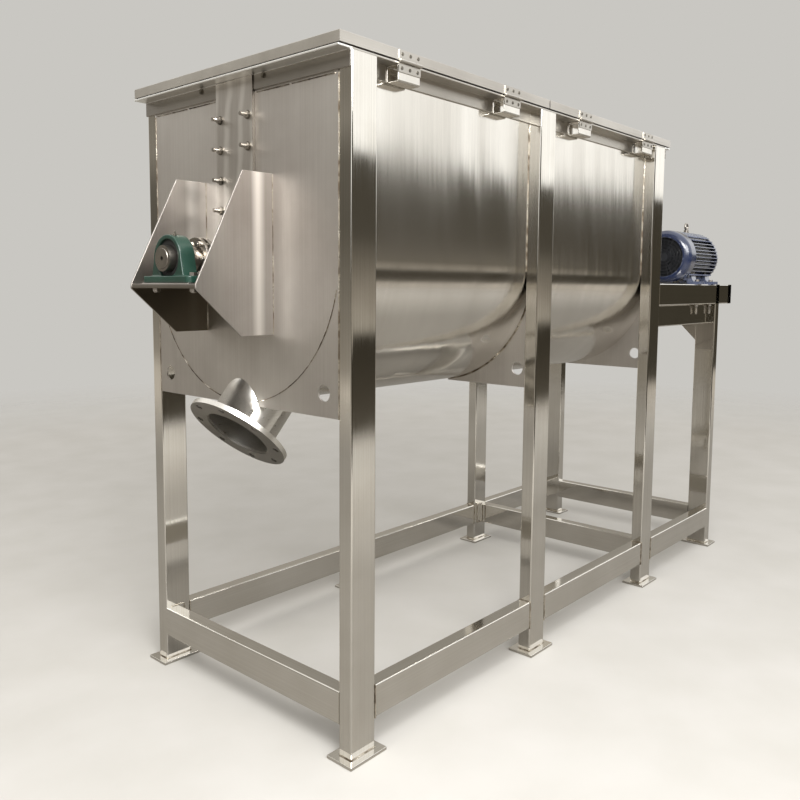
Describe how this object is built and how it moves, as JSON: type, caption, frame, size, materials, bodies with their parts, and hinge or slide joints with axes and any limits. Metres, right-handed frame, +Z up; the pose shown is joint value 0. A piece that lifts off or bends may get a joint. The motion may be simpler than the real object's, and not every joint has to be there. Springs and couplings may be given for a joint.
{
  "type": "horizontal ribbon mixer",
  "caption": "Horizontal ribbon mixer: a half-round steel trough on tube legs with hinged lids, a double helical agitator, a sloping outlet and a belt drive.",
  "frame": {"origin": "on the floor, at the centre of the whole footprint", "axes": "+X along the shaft from the outlet end to the drive end, +Y from the hinge side to the back, +Z up"},
  "size_m": [3.177, 1.04, 2.076],
  "materials": {
    "frame_tube": "polished stainless tube",
    "trough_sheet": "satin stainless sheet",
    "end_sheet": "dull stainless plate",
    "lid_sheet": "satin stainless sheet",
    "machined_steel": "turned steel",
    "fasteners": "plated steel",
    "bearing_green": "dark green enamel on cast iron",
    "seal": "matt",
    "belt": "matt",
    "motor_blue": "semi-gloss enamel",
    "motor_black": "black enamel",
    "pulley_iron": "turned cast iron",
    "guard_paint": "semi-gloss enamel",
    "reducer_paint": "semi-gloss enamel"
  },
  "bodies": {
    "frame": {"foot_plates": "frame_tube", "near_posts": "frame_tube", "middle_posts": "frame_tube", "far_posts": "frame_tube", "drive_posts": "frame_tube", "side_rails": "frame_tube", "cross_rails": "frame_tube", "drive_beams": "frame_tube", "drive_cross_beam": "frame_tube", "gussets": "frame_tube", "drive_support_beams": "frame_tube", "bearing_pedestal": "frame_tube", "motor_beams": "frame_tube", "platform_cross_tubes": "frame_tube", "platform_stubs": "frame_tube", "discharge_outlet": "frame_tube", "trough_shell": "trough_sheet", "near_end_plate": "end_sheet", "far_end_plate": "end_sheet", "saddle_plates": "end_sheet", "slot_covers": "end_sheet", "bracket_cheeks": "end_sheet", "bracket_shelf": "end_sheet", "hinge_blocks": "end_sheet", "rim_sides": "lid_sheet", "rim_ends": "lid_sheet", "rim_bridge": "lid_sheet", "hinge_lower_leaves": "lid_sheet", "shaft_glands": "machined_steel", "cover_studs": "fasteners", "gland_studs": "fasteners", "mounting_bolts": "fasteners", "motor_eyebolt": "fasteners", "bearing_housings": "bearing_green", "rim_gasket": "seal", "drive_belts": "belt", "motor_frame": "motor_blue", "motor_fan_cowl": "motor_blue", "motor_drive_shield": "motor_blue", "motor_terminal_box": "motor_blue", "belt_guard": "guard_paint", "reducer_case": "reducer_paint"},
    "agitator": {"main_shaft": "machined_steel", "outer_ribbon": "machined_steel", "inner_ribbon": "machined_steel", "ribbon_arms": "machined_steel", "bearing_inner_rings": "machined_steel", "shaft_coupling": "machined_steel", "reducer_output_shaft": "machined_steel"},
    "near_lid": {"lid_near": "lid_sheet", "lid_handle_near": "lid_sheet", "hinge_upper_leaves_near": "lid_sheet"},
    "far_lid": {"lid_far": "lid_sheet", "lid_handle_far": "lid_sheet", "hinge_upper_leaves_far": "lid_sheet"},
    "reducer_input": {"reducer_input_shaft": "machined_steel", "reducer_pulley": "pulley_iron"},
    "motor_spindle": {"motor_rotor": "machined_steel", "motor_fan": "motor_black", "motor_pulley": "pulley_iron"}
  },
  "joints": [
    {"name": "near_lid_hinge", "type": "hinge", "parent": "frame", "child": "near_lid", "pos_m": [-0.842, -0.502, 1.993], "axis": [1, 0, 0], "range_deg": [0, 100]},
    {"name": "far_lid_hinge", "type": "hinge", "parent": "frame", "child": "far_lid", "pos_m": [0.2, -0.502, 1.993], "axis": [1, 0, 0], "range_deg": [0, 100]},
    {"name": "agitator_spin", "type": "hinge", "parent": "frame", "child": "agitator", "pos_m": [0, 0, 1.44], "axis": [1, 0, 0], "continuous": true},
    {"name": "reducer_input_spin", "type": "hinge", "parent": "frame", "child": "reducer_input", "pos_m": [1.4, 0.25, 1.44], "axis": [1, 0, 0], "continuous": true},
    {"name": "motor_spin", "type": "hinge", "parent": "frame", "child": "motor_spindle", "pos_m": [1.2, -0.3715, 1.517], "axis": [1, 0, 0], "continuous": true}
  ],
  "couplings": [
    {"joint": "reducer_input_spin", "follows": "agitator_spin", "ratio": 20},
    {"joint": "motor_spin", "follows": "agitator_spin", "ratio": 44.643}
  ]
}
